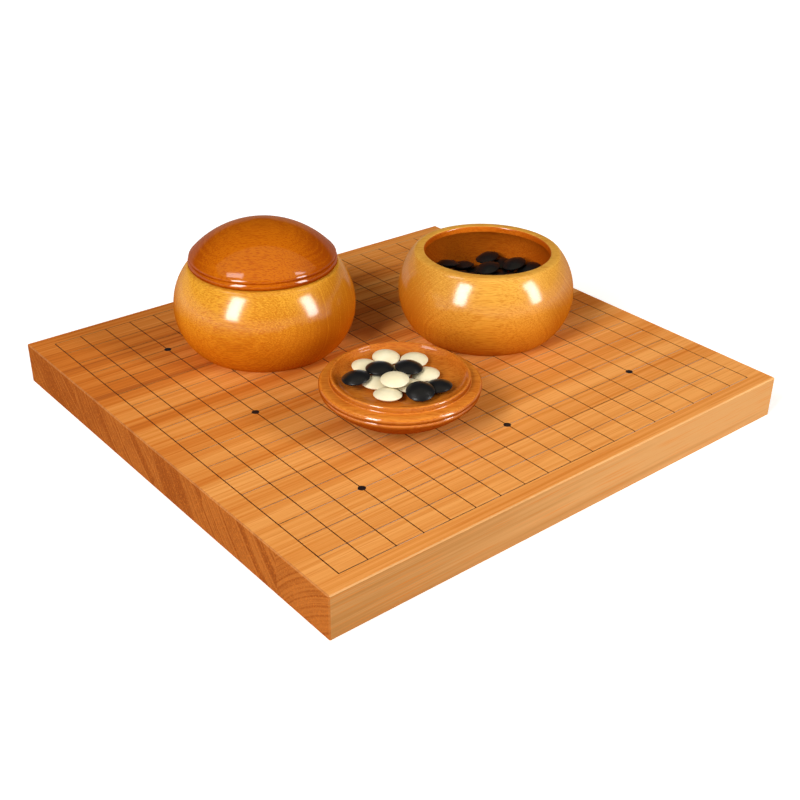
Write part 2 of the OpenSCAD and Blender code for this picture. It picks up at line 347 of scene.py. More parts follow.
# How often each figure repeats in a metre along the grain, across it and upwards
WANDER_SCALE = (1.7, 9.0, 9.0)
STREAK_SCALE = (5.5, 330.0, 330.0)
BROAD_SCALE = (1.2, 34.0, 34.0)
PATCH_SCALE = (3.0, 14.0, 14.0)
PORE_SCALE = (15.0, 1000.0, 1000.0)
SPECKLE_SCALE = (300.0, 420.0, 420.0)
# Shares of the rings, the streaks and the broad figure in a face's shade; an end has speckle for streaks
TOP_SHARES, SIDE_SHARES, END_SHARES = (0.16, 0.30, 0.54), (0.12, 0.28, 0.60), (0.60, 0.15, 0.25)
# Places of each face's colours in its shade, from dark to pale
TOP_STOPS, SIDE_STOPS, END_STOPS = (0.24, 0.34, 0.46, 0.59), (0.39, 0.57), (0.36, 0.58)
# How the sides grow paler along the grain, a painted light that brightens them towards +X, and how much of a
# stave's tone its end takes
SIDE_LIGHT_GROWTH, END_TONE = 0.36, 0.6
# A dark band: where it starts to fade and ends, in half widths; how it darkens the top and the end; its least
# share
BAND_FADE, BAND_ON_TOP, BAND_ON_END, BAND_LEAST = (0.4, 1.7), 0.08, 0.16, 0.35
# Values of the noise between which the patches of a band and the pores appear, and how dark the pores are
PATCH_LIMITS, PORE_LIMITS, PORE_STRENGTH = (0.30, 0.62), (0.54, 0.68), 0.42
# How squarely a face looks sideways where it counts as a side or an end, and upwards from bevel to top
TURN_LIMITS, BEVEL_START, BEVEL_END = (0.45, 0.8), (0.30, 0.55), (0.85, 0.97)
# Wear and painted highlight on the bevels, and what the streaks add to it
BEVEL_WEAR_AND_SHEEN, STREAK_WEAR_AND_SHEEN = 0.20, 0.4
BOARD_ROUGH, STREAK_ROUGH = 0.40, 0.14
BOARD_COAT, BOARD_POLISH = 0.25, 0.22
PORE_DEPTH, STREAK_RELIEF = 0.00012, 0.6


def board_wood(name, wood, pith, tone, growth, seed, bands):
    """Lacquered straight-grained wood, whose rings are streaks on top and slanting lines in the end grain, with
    painted light on the sides, a painted highlight with some wear on the bevels, and painted shade in the back
    staves' tone.
    """
    material, wire = new_finish(name)
    place = wire.node("ShaderNodeTexCoord", out="Object")
    facing = place.out("Normal").parts()
    along = place.parts()
    # Painted shade in part: on the back staves the tone and its growth along the grain darken the board round
    # the closed bowl and between the bowls
    toned = along.out("X") * growth + tone
    wander = place.stretched(WANDER_SCALE, (seed, 0.0, 0.0)).noise()
    across = along.out("Y") - pith[0] + (wander - NOISE_MIDDLE) * RING_WANDER
    up = along.out("Z") - pith[1]
    ring_way = (across * across + up * up) ** 0.5
    rings = (ring_way / RING_GAP + seed).noise_along(roughness=0.55)
    streaks = place.stretched(STREAK_SCALE, (seed, seed, 0.0)).noise(detail=3.0, roughness=0.6)
    broad = place.stretched(BROAD_SCALE, (0.0, seed, 0.0)).noise()
    patchy = place.stretched(PATCH_SCALE, (seed, 0.0, seed)).noise(detail=1.0).step(*PATCH_LIMITS)
    pores = place.stretched(PORE_SCALE, (0.0, seed, 0.0)).noise(detail=1.0)
    speckle = place.stretched(SPECKLE_SCALE).noise()
    band = 0.0
    for band_y, half in bands:
        band_way = math.hypot(band_y - pith[0], BOARD_TOP - pith[1])
        band = band + (1.0 - abs(ring_way - band_way).step(*(half * fade for fade in BAND_FADE)))
    band = band * (BAND_LEAST + patchy * (1.0 - BAND_LEAST))
    top = (mixed(TOP_SHARES, rings, streaks, broad) + toned - band * BAND_ON_TOP).ramp(
        TOP_STOPS, wood.board_darkest_and_shade, wood.board_deep, wood.board_mid, wood.board_pale)
    # Painted light: the sides grow paler along the grain, towards +X
    side = (mixed(SIDE_SHARES, rings, streaks, broad) + along.out("X") * SIDE_LIGHT_GROWTH).ramp(
        SIDE_STOPS, wood.side_deep, wood.side_pale)
    end = (mixed(END_SHARES, rings, speckle, broad) + toned * END_TONE - band * BAND_ON_END).ramp(
        END_STOPS, wood.end_deep, wood.end_pale)
    on_side = abs(facing.out("Y")).step(*TURN_LIMITS)
    on_end = abs(facing.out("X")).step(*TURN_LIMITS)
    plain = on_end.blend(on_side.blend(top, side), end)
    pored = (pores.step(*PORE_LIMITS) * PORE_STRENGTH).blend(plain, wood.board_deep)
    upward = abs(facing.out("Z"))
    # Painted highlight with some wear: the bevels take a pale colour, less on the ends' bevels
    on_bevel = upward.step(*BEVEL_START) * (1.0 - upward.step(*BEVEL_END)) * (1.0 - abs(facing.out("X")))
    worn_and_lit = (on_bevel * (BEVEL_WEAR_AND_SHEEN + streaks * STREAK_WEAR_AND_SHEEN)).blend(pored, wood.edge)
    close_finish(wire, height=pores + streaks * STREAK_RELIEF, depth=PORE_DEPTH, Base_Color=worn_and_lit,
                 Roughness=BOARD_ROUGH + streaks * STREAK_ROUGH, Specular_IOR_Level=0.0,
                 Coat_Weight=(1.0 - on_end) * (1.0 - on_side) * BOARD_COAT, Coat_Roughness=BOARD_POLISH)
    return material


# How often the wear with its painted highlight and the grit of the lines repeat in a metre
LINE_WEAR_AND_SHEEN_SCALE, LINE_GRIT_SCALE = (11.0, 60.0, 1.0), (400.0, 400.0, 400.0)
# Values of the noise between which a line is worn and painted with a highlight, and the places across the board
# where these end
LINE_WEAR_AND_SHEEN_LIMITS, LINE_WEAR_AND_SHEEN_END = (0.36, 0.58), (0.045, 0.095)
LINE_GRIT, LINE_DEPTH = 0.35, 0.00003
LINE_ROUGH, LINE_WORN_AND_SHEEN_ROUGH, LINE_SHINE = 0.40, 0.3, 0.1
# How far the lines along the grain and those across it are worn and painted with a highlight
WEAR_AND_SHEEN_ALONG, WEAR_AND_SHEEN_ACROSS = 0.75, 0.0


def line_lacquer(name, wood, wear_and_sheen):
    """Dark lacquer in the engraved lines, with the paler stretches that some of them show: wear and a painted
    highlight.
    """
    material, wire = new_finish(name)
    place = wire.node("ShaderNodeTexCoord", out="Object")
    front = 1.0 - place.parts().out("Y").step(*LINE_WEAR_AND_SHEEN_END)
    patches = place.stretched(LINE_WEAR_AND_SHEEN_SCALE).noise(detail=3.0, roughness=0.6)
    # Painted highlight with some wear: pale stretches on the lines, near the front edge only
    worn_and_lit = patches.step(*LINE_WEAR_AND_SHEEN_LIMITS) * front * wear_and_sheen
    grit = place.stretched(LINE_GRIT_SCALE).noise(detail=1.0)
    tint = worn_and_lit.blend((grit * LINE_GRIT).blend(wood.line, wood.line_pale), wood.line_worn_and_sheen)
    close_finish(wire, height=grit, depth=LINE_DEPTH, Base_Color=tint,
                 Roughness=LINE_ROUGH + worn_and_lit * LINE_WORN_AND_SHEEN_ROUGH, Specular_IOR_Level=LINE_SHINE)
    return material


STAR_SCALE, STAR_CLOUDS, STAR_DEPTH = (700.0, 700.0, 700.0), 0.5, 0.00006
STAR_ROUGH, STAR_CLOUD_ROUGH, STAR_SHINE = 0.34, 0.15, 0.2


def star_lacquer(wood):
    """Black lacquer of the star points, a little uneven."""
    material, wire = new_finish("star_lacquer")
    place = wire.node("ShaderNodeTexCoord", out="Object")
    uneven = place.stretched(STAR_SCALE).noise()
    tint = (uneven * STAR_CLOUDS).blend(wood.star, wood.star_pale)
    close_finish(wire, height=uneven, depth=STAR_DEPTH, Base_Color=tint,
                 Roughness=STAR_ROUGH + uneven * STAR_CLOUD_ROUGH, Specular_IOR_Level=STAR_SHINE)
    return material


# The turned pieces' finishes

# For each turned piece: the heading of its level grain; its pith across the grain and above the board; how
# squarely a surface looks along the grain where its end grain starts and where it is full; how fine and how
# strong its flecks are; its tints of painted shade inside and on the surfaces that face down, towards the foot;
# the weight and roughness of its lacquer; the seed of its figure
TURNED_GRAIN = {
    "white_bowl": dict(
        heading=-0.95, pith=(0.120, 0.030), ends=(0.56, 0.95), fleck_scale=(180.0, 1350.0, 1350.0),
        flecking=0.72, inner_shade=(0.86, 0.40, 0.13), foot=(0.83, 0.53, 0.22), gloss=0.14, polish=0.16, seed=5.0),
    "black_bowl": dict(
        heading=-0.74, pith=(0.100, 0.110), ends=(0.46, 0.95), fleck_scale=(70.0, 1400.0, 1400.0),
        flecking=0.55, inner_shade=(0.86, 0.40, 0.13), foot=(0.83, 0.58, 0.24), gloss=0.14, polish=0.16, seed=17.0),
    "white_bowl_lid": dict(
        heading=-0.80, pith=(-0.015, 0.330), ends=(0.30, 0.70), fleck_scale=(220.0, 1350.0, 1350.0),
        flecking=0.70, inner_shade=(1.00, 0.70, 0.42), foot=(0.80, 0.66, 0.50), gloss=0.12, polish=0.08, seed=29.0),
    "upturned_lid": dict(
        heading=-0.70, pith=(0.030, 0.240), ends=(0.56, 0.95), fleck_scale=(110.0, 1400.0, 1400.0),
        flecking=0.70, inner_shade=(0.86, 0.76, 0.60), foot=(0.52, 0.40, 0.27), gloss=0.14, polish=0.11, seed=41.0),
}
# The dark figure, the flecks and the end grain, as shares of a piece's pale colour
DEEPER, FLECKED, END_GRAIN = (0.75, 0.61, 0.46), (0.72, 0.46, 0.26), (0.85, 0.75, 0.52)
# Metres between the growth rings, and how far these wander across the grain and upwards
TURNED_RING_GAP, WANDER_ACROSS, WANDER_UP = 0.0017, 0.018, 0.010
# How often each figure repeats in a metre along the grain, across it and upwards
TURNED_WANDER_SCALE = (9.0, 16.0, 16.0)
HATCH_SCALE = (90.0, 1500.0, 1500.0)
CLOUD_SCALE = (9.0, 14.0, 14.0)
FLECK_LIMITS = (0.51, 0.63)
# Shares of each figure in the shade, and what the end grain adds to the rings; then what all shades lose, and
# what the end grain loses more
RING_SHARE, END_RING_SHARE, CLOUD_SHARE, HATCH_SHARE = 0.24, 0.36, 0.62, 0.90
SHADE_DROP, END_SHADE_DROP = 0.36, 0.42
TURNED_STOPS = (0.32, 0.58)
# Where a surface counts as inside, by how it faces the bowl's heart, and as low, by how far it faces up; both
# take painted shade
INSIDE_LIMITS, SHADE_BELOW_LIMITS = (-0.03, 0.0), (-0.35, 0.70)
# The lacquer's least share, how far up a surface faces where it grows to the whole, and its refraction
COAT_LEAST, COAT_LIMITS, COAT_IOR = 0.10, (0.06, 0.40), 4.0
TURNED_ROUGH, TURNED_CLOUD_ROUGH = 0.40, 0.10
TURNED_DEPTH, FLECK_RELIEF, CLOUD_RELIEF = 0.00004, -0.4, 0.6


def turned_wood(name, centre, pale, heading, pith, ends, fleck_scale, flecking, inner_shade, foot, gloss, polish,
                seed):
    """Amber lacquered wood with short dark flecks along a level grain, growth rings, and darker end grain;
    painted shade darkens it inside and where it faces down.
    """
    material, wire = new_finish(name)
    deep, fleck = (tuple(c * k for c, k in zip(pale, share)) for share in (DEEPER, FLECKED))
    coords = wire.node("ShaderNodeTexCoord", out="Object")
    place = wire.node("ShaderNodeMapping", {"vector_type": "TEXTURE"}, {
        "Vector": coords, "Location": (*centre, BOARD_TOP), "Rotation": (0.0, 0.0, heading)})
    local = place.parts()
    wander = place.stretched(TURNED_WANDER_SCALE, (seed, 0.0, 0.0)).noise() - NOISE_MIDDLE
    across = local.out("Y") - pith[0] + wander * WANDER_ACROSS
    up = local.out("Z") - pith[1] + wander * WANDER_UP
    ring_way = (across * across + up * up) ** 0.5
    rings = (ring_way / TURNED_RING_GAP + seed).noise_along(detail=1.0)
    flecks = place.stretched(fleck_scale, (seed, 0.0, seed)).noise(detail=1.0).step(*FLECK_LIMITS)
    hatch = place.stretched(HATCH_SCALE, (0.0, seed, seed)).noise(roughness=0.6)
    cloud = place.stretched(CLOUD_SCALE, (0.0, seed, 0.0)).noise(detail=3.0, roughness=0.55)
    normal = coords.out("Normal")
    on_end = abs(normal.dot((math.cos(heading), math.sin(heading), 0.0))).step(*ends)
    from_heart = coords.vector("SUBTRACT", (*centre, BOARD_TOP + BOWL_HEART))
    inside = 1.0 - normal.dot(from_heart).step(*INSIDE_LIMITS)
    rise = normal.parts().out("Z")
    low = 1.0 - rise.step(*SHADE_BELOW_LIMITS)
    figure = rings * (RING_SHARE + on_end * END_RING_SHARE) + cloud * CLOUD_SHARE + hatch * HATCH_SHARE
    plain = (figure - SHADE_DROP - on_end * END_SHADE_DROP).ramp(TURNED_STOPS, deep, pale)
    flecked = (flecks * flecking).blend(plain, fleck)
    ended = on_end.blend(flecked, END_GRAIN, "MULTIPLY")
    # Painted shade: outside surfaces that face down darken by the foot tint
    shaded_below = (low * (1.0 - inside)).blend(ended, foot, "MULTIPLY")
    # Painted shade: surfaces inside a hollow darken by the inner tint
    tint = inside.blend(shaded_below, inner_shade, "MULTIPLY")
    close_finish(wire, height=flecks * FLECK_RELIEF + cloud * CLOUD_RELIEF, depth=TURNED_DEPTH,
                 Base_Color=tint, Roughness=TURNED_ROUGH + cloud * TURNED_CLOUD_ROUGH, Specular_IOR_Level=0.0,
                 Coat_Weight=gloss * (COAT_LEAST + rise.step(*COAT_LIMITS) * (1.0 - COAT_LEAST)),
                 Coat_IOR=COAT_IOR, Coat_Roughness=polish)
    return material


def turned_finish(node, wood):
    """The finish of one turned piece."""
    return turned_wood(f"turned_wood_{node}", middle(node), getattr(wood, node), **TURNED_GRAIN[node])


# The stones' finishes

STONE_CLOUD_SCALE, STONE_GRIT_SCALE = (90.0, 90.0, 160.0), (1500.0, 1500.0, 1500.0)
STONE_CLOUD_LIMITS, STONE_CLOUD_ROUGH = (0.35, 0.70), 0.12
STONE_DEPTH, STONE_CLOUD_RELIEF = 0.00003, 2.0
# Roughness and shine of the white and of the black stones
WHITE_POLISH, BLACK_POLISH = (0.26, 0.3), (0.24, 0.24)


def stone_finish(name, tint, clouds, roughness, shine):
    """Satin stone with a faint unevenness in its colour and polish."""
    material, wire = new_finish(name)
    place = wire.node("ShaderNodeTexCoord", out="Object")
    cloud = place.stretched(STONE_CLOUD_SCALE).noise(detail=3.0, roughness=0.55)
    grit = place.stretched(STONE_GRIT_SCALE).noise(detail=1.0)
    shade = cloud.step(*STONE_CLOUD_LIMITS).blend(tint, clouds)
    close_finish(wire, height=grit + cloud * STONE_CLOUD_RELIEF, depth=STONE_DEPTH, Base_Color=shade,
                 Roughness=roughness + cloud * STONE_CLOUD_ROUGH, Specular_IOR_Level=shine)
    return material


# Modelling

# Steps round a turned piece, a stone in the dish and a stone in a pile
SPIN_STEPS, STONE_STEPS, PILE_STEPS = 144, 48, 16
# Longest piece of a round cut and the least number of pieces in one, on the fine pieces and in the piles
ARC_PIECE, ARC_LEAST = 0.0020, 4
PILE_ARC_PIECE, PILE_ARC_LEAST = 1.0, 2
START_SIZE = 0.01
WELD = 1e-6
SMOOTH_ANGLE = math.radians(38.0)
# Degrees by which the lid's shoulder and its bead turn in at the crease between them
CREASE_TURN = 30.0


def deselect():
    """Leaves edit mode and deselects everything."""
    if bpy.context.object and bpy.context.object.mode != "OBJECT":
        bpy.ops.object.mode_set(mode="OBJECT")
    bpy.ops.object.select_all(action="DESELECT")


def only(*pieces):
    """Selects these pieces alone and makes the first one active."""
    deselect()
    for piece in pieces:
        piece.select_set(True)
    bpy.context.view_layer.objects.active = pieces[0]


def discard(piece):
    """Removes a piece that was only a help, with its mesh."""
    mesh = piece.data
    bpy.data.objects.remove(piece)
    bpy.data.meshes.remove(mesh)


def settle(piece, place, turned=(0.0, 0.0, 0.0)):
    """Puts a piece in its place, with the place in its mesh."""
    only(piece)
    piece.location = place
    piece.rotation_euler = turned
    bpy.ops.object.transform_apply(location=True, rotation=True, scale=True)


def finish_node(node, material):
    """Gives a CAD node that stays its finish."""
    NODES[node].material_slots[0].material = material


def finish_piece(piece, material, body, slot, *nodes):
    """Gives a piece its finish and its body, and lets it stand for its CAD nodes; its slot is not used."""
    piece.data.materials.clear()
    piece.data.materials.append(material)
    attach(piece, body)
    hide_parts(*nodes)


def turn(name, start, path, steps, arc_piece=ARC_PIECE, arc_least=ARC_LEAST):
    """Turns a piece about the Z axis. Its outline starts at a point and follows a path of straight cuts,
    given by their ends, and of round cuts, given by a centre and a sweep in degrees."""
    deselect()
    bpy.ops.mesh.primitive_plane_add(size=START_SIZE)
    piece = bpy.context.object
    piece.name = piece.data.name = name
    bpy.ops.object.mode_set(mode="EDIT")
    bpy.ops.mesh.select_all(action="SELECT")
    bpy.ops.mesh.merge(type="CENTER")
    bpy.ops.transform.translate(value=(start[0], 0.0, start[1]))
    here = Vector(start)
    for cut in path:
        if len(cut) == 1:
            there = Vector(cut[0])
            if (there - here).length > WELD:
                bpy.ops.mesh.extrude_region_move(TRANSFORM_OT_translate={
                    "value": (there.x - here.x, 0.0, there.y - here.y)})
            here = there
        else:
            centre, sweep = Vector(cut[0]), math.radians(cut[1])
            arm = here - centre
            count = max(arc_least, math.ceil(abs(sweep) * arm.length / arc_piece))
            bpy.ops.mesh.spin(steps=count, angle=sweep, center=(centre.x, 0.0, centre.y),
                              axis=(0.0, 1.0, 0.0))
            c, s = math.cos(sweep), math.sin(sweep)
            here = centre + Vector((arm.x * c - arm.y * s, arm.x * s + arm.y * c))
    bpy.ops.mesh.select_all(action="SELECT")
    bpy.ops.mesh.spin(steps=steps, angle=math.tau, center=(0.0, 0.0, 0.0), axis=(0.0, 0.0, 1.0))
    bpy.ops.mesh.select_all(action="SELECT")
    bpy.ops.mesh.remove_doubles(threshold=WELD)
    bpy.ops.mesh.normals_make_consistent(inside=False)
    bpy.ops.object.mode_set(mode="OBJECT")
    bpy.ops.object.shade_smooth_by_angle(angle=SMOOTH_ANGLE)
    return piece


def polar(centre, radius, degrees):
    """The point at a radius and an angle from a centre."""
    a = math.radians(degrees)
    return centre[0] + radius * math.cos(a), centre[1] + radius * math.sin(a)


def bowl_outline(b):
    """Outline of a bowl from the middle of its foot, up its outside and down its inside to the floor."""
    edge = (b.mouth_radius + b.lip_edge, b.height - b.lip_edge)
    lip = (edge[0] + b.lip_flat, b.height - b.lip_round)
    lip_in, lip_rise = b.belly_radius - lip[0], lip[1] - b.belly_height
    upper_curve = (lip_in ** 2 + lip_rise ** 2 - b.lip_round ** 2) / (2 * (lip_in - b.lip_round))
    lower = (b.belly_radius - b.lower_curve, b.belly_height)
    upper = (b.belly_radius - upper_curve, b.belly_height)
    inner_low, inner_up = b.lower_curve - b.wall, upper_curve - b.wall
    foot = lower[0] + math.sqrt(b.lower_curve ** 2 - b.belly_height ** 2)
    foot_angle = -math.degrees(math.asin(b.belly_height / b.lower_curve))
    lip_angle = math.degrees(math.atan2(lip_rise, lip[0] - upper[0]))
    mouth_angle = math.degrees(math.acos((b.mouth_radius - upper[0]) / inner_up))
    fillet_z = b.floor + b.floor_fillet
    fillet_x = lower[0] + math.sqrt((inner_low - b.floor_fillet) ** 2 - (b.belly_height - fillet_z) ** 2)
    fillet = (fillet_x, fillet_z)
    fillet_angle = math.degrees(math.atan2(fillet[1] - lower[1], fillet[0] - lower[0]))
    return (0.0, b.foot_hollow), (
        ((foot - b.foot_ring - b.foot_hollow, b.foot_hollow),),
        ((foot - b.foot_ring, 0.0),),
        ((foot, 0.0),),
        (lower, -foot_angle),
        (upper, lip_angle),
        (lip, 90.0 - lip_angle),
        ((edge[0], b.height),),
        (edge, 90.0),
        (polar(upper, inner_up, mouth_angle),),
        (upper, -mouth_angle),
        (lower, fillet_angle),
        (fillet, -90.0 - fillet_angle),
        ((0.0, b.floor),),
    )


def lid_outline(l, mouth_radius):
    """Outline of a lid from the middle of its crown, out over the bead and back along its underside."""
    bead = l.bead / 2
    bead_c = (l.radius - bead, bead)
    shoulder = (l.radius - l.shoulder_in - l.shoulder_round,
                l.bead + l.shoulder_round * math.sin(math.radians(CREASE_TURN)))
    dome_h = l.height + l.crown_cut
    rise = dome_h - shoulder[1]
    dome = (shoulder[0] ** 2 + rise ** 2 - l.shoulder_round ** 2) / (2 * (rise - l.shoulder_round))
    dome_c = (0.0, dome_h - dome)
    crown_angle = math.degrees(math.asin((l.height - dome_c[1]) / dome))
    dome_angle = math.degrees(math.atan2(shoulder[1] - dome_c[1], shoulder[0]))
    spigot = mouth_radius - l.spigot_play
    edge = (spigot - l.spigot_round, l.spigot_round - l.spigot_height)
    dish_c = (0.0, l.dish_depth - l.spigot_height - l.dish_curve)
    far, near = l.dish_curve - l.dish_side, l.dish_side + l.spigot_round
    gap = math.hypot(edge[0], edge[1] - dish_c[1])
    way = (edge[0] / gap, (edge[1] - dish_c[1]) / gap)
    along = (gap ** 2 + far ** 2 - near ** 2) / (2 * gap)
    aside = math.sqrt(far ** 2 - along ** 2)
    side = (way[0] * along - way[1] * aside, dish_c[1] + way[1] * along + way[0] * aside)
    side_from = math.degrees(math.atan2(edge[1] - side[1], edge[0] - side[0]))
    side_to = math.degrees(math.atan2(side[1] - dish_c[1], side[0]))
    return (0.0, l.height), (
        (polar(dome_c, dome, crown_angle),),
        (dome_c, dome_angle - crown_angle),
        (shoulder, -CREASE_TURN - dome_angle),
        (polar(bead_c, bead, 90.0 - CREASE_TURN),),
        (bead_c, CREASE_TURN - 180.0),
        ((spigot + l.spigot_fillet, 0.0),),
        ((spigot + l.spigot_fillet, -l.spigot_fillet), 90.0),
        ((spigot, edge[1]),),
        (edge, side_from - 180.0),
        (side, side_to - side_from),
        (dish_c, 90.0 - side_to),
    )


def model_stone(name, s, steps, fine):
    """A double-convex stone at the origin, with a rounded rim where it is seen from near."""
    radius, half = s.diameter / 2, s.thickness / 2
    rim = radius + s.edge
    cap = (rim ** 2 + half ** 2) / s.thickness
    above, below = (0.0, cap - half), (0.0, half - cap)
    if not fine:
        drop = math.degrees(math.acos(radius / cap))
        slope = 90.0 - drop
        path = ((below, -slope), ((radius, 0.0),), (polar(above, cap, -drop),), (above, -slope))
        return turn(name, (0.0, half), path, steps, PILE_ARC_PIECE, PILE_ARC_LEAST)
    nose = (rim ** 2 - radius ** 2) / (2 * cap - s.diameter)
    nose_c = (radius - nose, 0.0)
    slope = math.degrees(math.atan2(nose_c[0], cap - half))
    path = ((below, -slope), (nose_c, -2 * (90.0 - slope)), (above, -slope))
    return turn(name, (0.0, half), path, steps)


def stone_places(node):
    """Middle and axis of each stone in a CAD node, measured on a copy that is split into its loose stones."""
    copy = NODES[node].copy()
    copy.data = copy.data.copy()
    copy.parent = None
    bpy.context.scene.collection.objects.link(copy)
    only(copy)
    bpy.ops.object.mode_set(mode="EDIT")
    bpy.ops.mesh.select_all(action="SELECT")
    bpy.ops.mesh.remove_doubles(threshold=WELD)
    bpy.ops.mesh.separate(type="LOOSE")
    bpy.ops.object.mode_set(mode="OBJECT")
    places = []
    parts = list(bpy.context.selected_objects)
    for part in parts:
        points = np.empty(len(part.data.vertices) * 3, np.float32)
        part.data.vertices.foreach_get("co", points)
        points = points.reshape(-1, 3).astype(float)
        axes = np.linalg.eigh(np.cov(points.T))[1]
        reach = points @ axes
        centre = axes @ ((reach.min(0) + reach.max(0)) / 2)
        axis = axes[:, 0] * (1.0 if axes[2, 0] > 0 else -1.0)
        places.append((Vector(centre), Vector(axis)))
    for part in parts:
        discard(part)
    return places


def copy_stone(model, name, place):
    """A copy of the modelled stone in its place, with its own mesh."""
    centre, axis = place
    piece = model.copy()
    piece.data = model.data.copy()
    piece.name = piece.data.name = name
    bpy.context.scene.collection.objects.link(piece)
    settle(piece, centre, axis.to_track_quat("Z", "Y").to_euler())
    return piece


# Operators

class GOSET_OT_board(Operator):
    """Gives the board's staves, lines and star points their finishes"""
    bl_idname = "goset.board"
    bl_label = "Board"

    def execute(self, context):
        wood = context.scene.go_set.wood
        for number, (node, grain) in enumerate(zip(STAVES, STAVE_GRAIN), 1):
            finish_node(node, board_wood(f"board_wood_{number}", wood, **grain))
        finish_node("lines_along_grain", line_lacquer("line_lacquer_along", wood, WEAR_AND_SHEEN_ALONG))
        finish_node("lines_across_grain", line_lacquer("line_lacquer_across", wood, WEAR_AND_SHEEN_ACROSS))
        finish_node("star_points", star_lacquer(wood))
        return {"FINISHED"}


class GOSET_OT_bowls(Operator):
    """Turns the closed bowl and the open bowl"""
    bl_idname = "goset.bowls"
    bl_label = "Bowls"

    def execute(self, context):
        settings = context.scene.go_set
        for node, name in (("white_bowl", "closed_bowl_shell"), ("black_bowl", "open_bowl_shell")):
            piece = turn(name, *bowl_outline(settings.bowl), SPIN_STEPS)
            settle(piece, (*middle(node), BOARD_TOP))
            finish_piece(piece, turned_finish(node, settings.wood), body_of(node), "bowl_wood", node)
        return {"FINISHED"}


class GOSET_OT_lids(Operator):
    """Turns the lid of the closed bowl and the lid that is upturned as a dish"""
    bl_idname = "goset.lids"
    bl_label = "Lids"

    def execute(self, context):
        settings = context.scene.go_set
        outline = lid_outline(settings.lid, settings.bowl.mouth_radius)
        seats = (("white_bowl_lid", "closed_lid_dome", BOARD_TOP + settings.bowl.height, 0.0),
                 ("upturned_lid", "dish_lid_dome", BOARD_TOP + settings.lid.height, math.pi))
        for node, name, height, tilt in seats:
            piece = turn(name, *outline, SPIN_STEPS)
            settle(piece, (*middle(node), height), (tilt, 0.0, 0.0))
            finish_piece(piece, turned_finish(node, settings.wood), body_of(node), "bowl_wood", node)
        return {"FINISHED"}


class GOSET_OT_stones(Operator):
    """Models the stones in the dish and the piles of stones in the bowls"""
    bl_idname = "goset.stones"
    bl_label = "Stones"

    def execute(self, context):
        shape = context.scene.go_set.stone
        finishes = {
            "white": stone_finish("white_stone", shape.white, shape.white_cloud, *WHITE_POLISH),
            "black": stone_finish("black_stone", shape.black, shape.black_cloud, *BLACK_POLISH),
        }
        model = model_stone("stone_model", shape, STONE_STEPS, True)
        for node in DISH_STONES:
            kind = node.split("_")[1]
            piece = copy_stone(model, node.replace("tray_", "dish_"), stone_places(node)[0])
            finish_piece(piece, finishes[kind], body_of(node), f"{kind}_stone", node)
        discard(model)
        model = model_stone("pile_stone_model", shape, PILE_STEPS, False)
        for node, kind, name in (("white_stones_in_bowl", "white", "closed_bowl_stones"),
                                 ("black_stones_in_bowl", "black", "open_bowl_stones")):
            stones = [copy_stone(model, f"{name}_{i}", place) for i, place in enumerate(stone_places(node))]
            only(*stones)
            bpy.ops.object.join()
            pile = stones[0]
            pile.name = pile.data.name = name
            finish_piece(pile, finishes[kind], body_of(node), f"{kind}_stone", node)
        discard(model)
        return {"FINISHED"}


# Name, place, point it faces, roll in degrees, width, height, power and colour of each lamp
WARM = (1.0, 0.84, 0.48)
LAMPS = (
    ("softbox_left", (-3.78, -0.936, 2.006), (0.0, 0.0, 0.08), 0.0, 1.19, 3.06, 207.0, WHITE),
    ("softbox_right", (1.24, -2.44, 1.08), (0.0, 0.0, 0.08), 0.0, 0.74, 1.75, 66.0, WHITE),
    ("overhead", (-0.05, -0.265, 1.55), (-0.05, -0.265, 0.0), -32.0, 3.40, 1.50, 7.2, WARM),
    ("strip_left", (-0.975, 0.237, 1.45), (-0.975, 0.237, 0.0), -58.0, 0.58, 0.17, 1.8, WHITE),
    ("strip_right", (0.730, -0.732, 1.45), (0.730, -0.732, 0.0), -8.0, 0.43, 0.13, 1.1, WHITE),
)
CAMERA_PLACE = (-0.57066, -0.69962, 0.50783)
CAMERA_TURN = (59.4948, -1.1506, -40.1579)
CAMERA_SHIFT = (-0.03096, 0.02714)
FLOOR_RADIUS, FLOOR_SIDES = 9.0, 128
# How far the floor lies below the board's underside, so that the two faces don't fall together
FLOOR_DROP = 0.0003
# What the floor adds to its own light to stay white near the board, how much more far from it, and where it
# changes
NEAR_LIFT, FAR_LIFT, FADE = 0.50, 0.47, (0.35, 1.5)
# Where the floor dims towards the horizon, and by how much
DIM, DIM_BY = (3.5, 8.5), 0.20
# The pale band round the horizon: the heights between which it fades, and how much it adds
HORIZON, HORIZON_LIFT = (0.09, 0.28), 0.75


def shown(wire):
    """1 on the rays that show the background: from the camera, off gloss and through glass."""
    rays = wire.node("ShaderNodeLightPath", out="Is Camera Ray")
    return rays + rays.out("Is Glossy Ray") + rays.out("Is Transmission Ray")


def floor_paper(tint):
    """Pale paper that stays white in the picture and keeps the shadows."""
    material, wire = new_finish("floor_paper")
    place = wire.node("ShaderNodeTexCoord", out="Object")
    away = wire.node("ShaderNodeVectorMath", {"operation": "LENGTH"}, {0: place}, out="Value")
    lift = NEAR_LIFT + away.step(*FADE) * FAR_LIFT - away.step(*DIM) * DIM_BY
    paper = wire.node("ShaderNodeBsdfDiffuse", {}, {"Color": tint})
    glow = wire.node("ShaderNodeEmission", {}, {"Color": WHITE, "Strength": shown(wire) * lift})
    wire.node("ShaderNodeAddShader", {}, {0: paper, 1: glow}).end("ShaderNodeOutputMaterial")
    return material


def even_light(ambient):
    """A world of faint even light, with a pale band round the horizon where it shows."""
    world = bpy.data.worlds.new("even_light")
    world.use_nodes = True
    world.node_tree.nodes.clear()
    wire = Wire(world.node_tree)
    way = wire.node("ShaderNodeTexCoord", out="Generated").parts()
    pale = 1.0 - way.out("Z").step(*HORIZON)
    strength = ambient + shown(wire) * pale * HORIZON_LIFT
    wire.node("ShaderNodeBackground", {}, {"Color": WHITE, "Strength": strength}).end("ShaderNodeOutputWorld")
    return world


